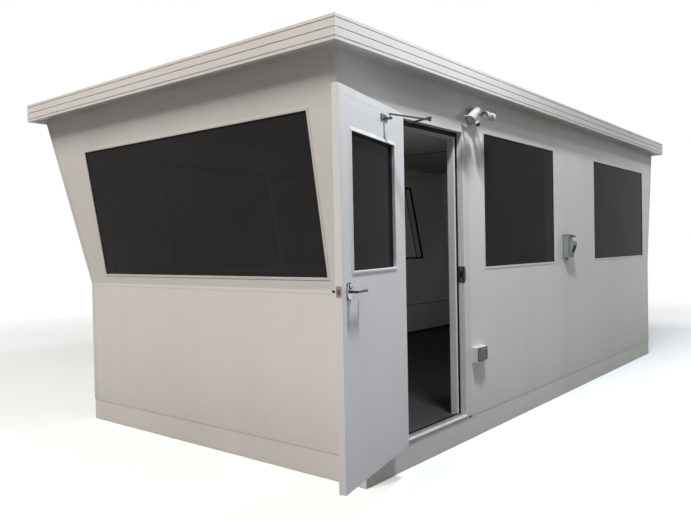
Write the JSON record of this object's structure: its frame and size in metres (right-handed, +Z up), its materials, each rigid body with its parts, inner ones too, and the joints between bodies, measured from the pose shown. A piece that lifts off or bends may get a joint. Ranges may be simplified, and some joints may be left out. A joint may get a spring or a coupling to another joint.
{
  "type": "operator cabin",
  "caption": "Flat-roofed portable operator cabin on a steel skid, its ends and back leaning outward above waist height, with tinted windows and an outward-opening glazed door.",
  "frame": {"origin": "centre of the skid base's underside, on the ground", "axes": "+X along the length, -Y out of the side with the door, +Z up"},
  "size_m": [6.9483, 3.6882, 2.706],
  "materials": {
    "panel_white": "off-white polyester paint on steel sheet",
    "base_paint": "off-white paint on steel channel",
    "trim_white": "white powder coat",
    "roof_white": "white polyester paint on steel sheet",
    "dark_glass": "dark tinted glass",
    "floor_vinyl": "charcoal sheet vinyl",
    "bright_metal": "mill finish",
    "steel_satin": "satin stainless",
    "black_rubber": "matt black seal",
    "dark_metal": "dark grey enamel",
    "grey_plastic": "mid grey moulded",
    "white_plastic": "white moulded"
  },
  "bodies": {
    "cabin": {"base_long_rails": "base_paint", "base_end_rails": "base_paint", "floor_joists": "base_paint", "floor_deck": "floor_vinyl", "front_wall_left": "panel_white", "front_wall_over_door": "panel_white", "front_wall_right": "panel_white", "back_wall_lower": "panel_white", "back_wall_upper": "panel_white", "left_wall_lower": "panel_white", "left_wall_upper": "panel_white", "right_wall_lower": "panel_white", "right_wall_upper": "panel_white", "corner_flashings": "trim_white", "roof_panel": "roof_white", "roof_fascia_long": "trim_white", "roof_fascia_ends": "trim_white", "ceiling_strips": "black_rubber", "front_window_frames": "trim_white", "back_window_frames": "trim_white", "end_window_frames": "trim_white", "front_window_glass": "dark_glass", "back_window_glass": "dark_glass", "end_window_glass": "dark_glass", "door_frame": "trim_white", "door_sill": "bright_metal", "door_gasket": "black_rubber", "door_keeper": "dark_metal", "hinge_frame_plates": "steel_satin", "closer_body": "dark_metal", "spot_light_base": "white_plastic", "inlet_box": "grey_plastic", "inlet_flap": "grey_plastic", "socket_box": "white_plastic", "socket_insert": "grey_plastic"},
    "door": {"door_leaf": "panel_white", "door_window_bead": "trim_white", "door_glass": "dark_glass", "hinge_leaf_plates": "steel_satin", "door_lock": "steel_satin", "closer_shoe": "dark_metal"},
    "lever": {"door_lever": "steel_satin"},
    "arm": {"closer_arm": "dark_metal"},
    "forearm": {"closer_forearm": "dark_metal"},
    "spot_left": {"spot_head_left": "white_plastic"},
    "spot_right": {"spot_head_right": "white_plastic"}
  },
  "joints": [
    {"name": "door_swing", "type": "hinge", "parent": "cabin", "child": "door", "pos_m": [-2.715, -1.51, 1.2], "axis": [0, 0, 1], "range_deg": [0, 166]},
    {"name": "lever_turn", "type": "hinge", "parent": "door", "child": "lever", "pos_m": [-3.52645, -1.769, 1.22], "axis": [-0.2419, 0.9703, 0], "range_deg": [0, 45], "stiffness_Nm_per_rad": 2, "springref_deg": -45.84},
    {"name": "arm_swing", "type": "hinge", "parent": "cabin", "child": "arm", "pos_m": [-2.555, -1.35, 2.203], "axis": [0, 0, 1], "range_deg": [-1, 130]},
    {"name": "forearm_swing", "type": "hinge", "parent": "arm", "child": "forearm", "pos_m": [-2.69711, -1.77064, 2.191], "axis": [0, 0, 1], "range_deg": [-79, 1]},
    {"name": "spot_left_tilt", "type": "hinge", "parent": "cabin", "child": "spot_left", "pos_m": [-1.795, -1.587, 2.369], "axis": [0, 1, 0], "range_deg": [-30, 30]},
    {"name": "spot_right_tilt", "type": "hinge", "parent": "cabin", "child": "spot_right", "pos_m": [-1.576, -1.587, 2.388], "axis": [0, 1, 0], "range_deg": [-30, 30]}
  ],
  "couplings": [
    {"joint": "arm_swing", "follows": "door_swing", "ratio": 0.77558},
    {"joint": "forearm_swing", "follows": "door_swing", "ratio": -0.46727}
  ]
}
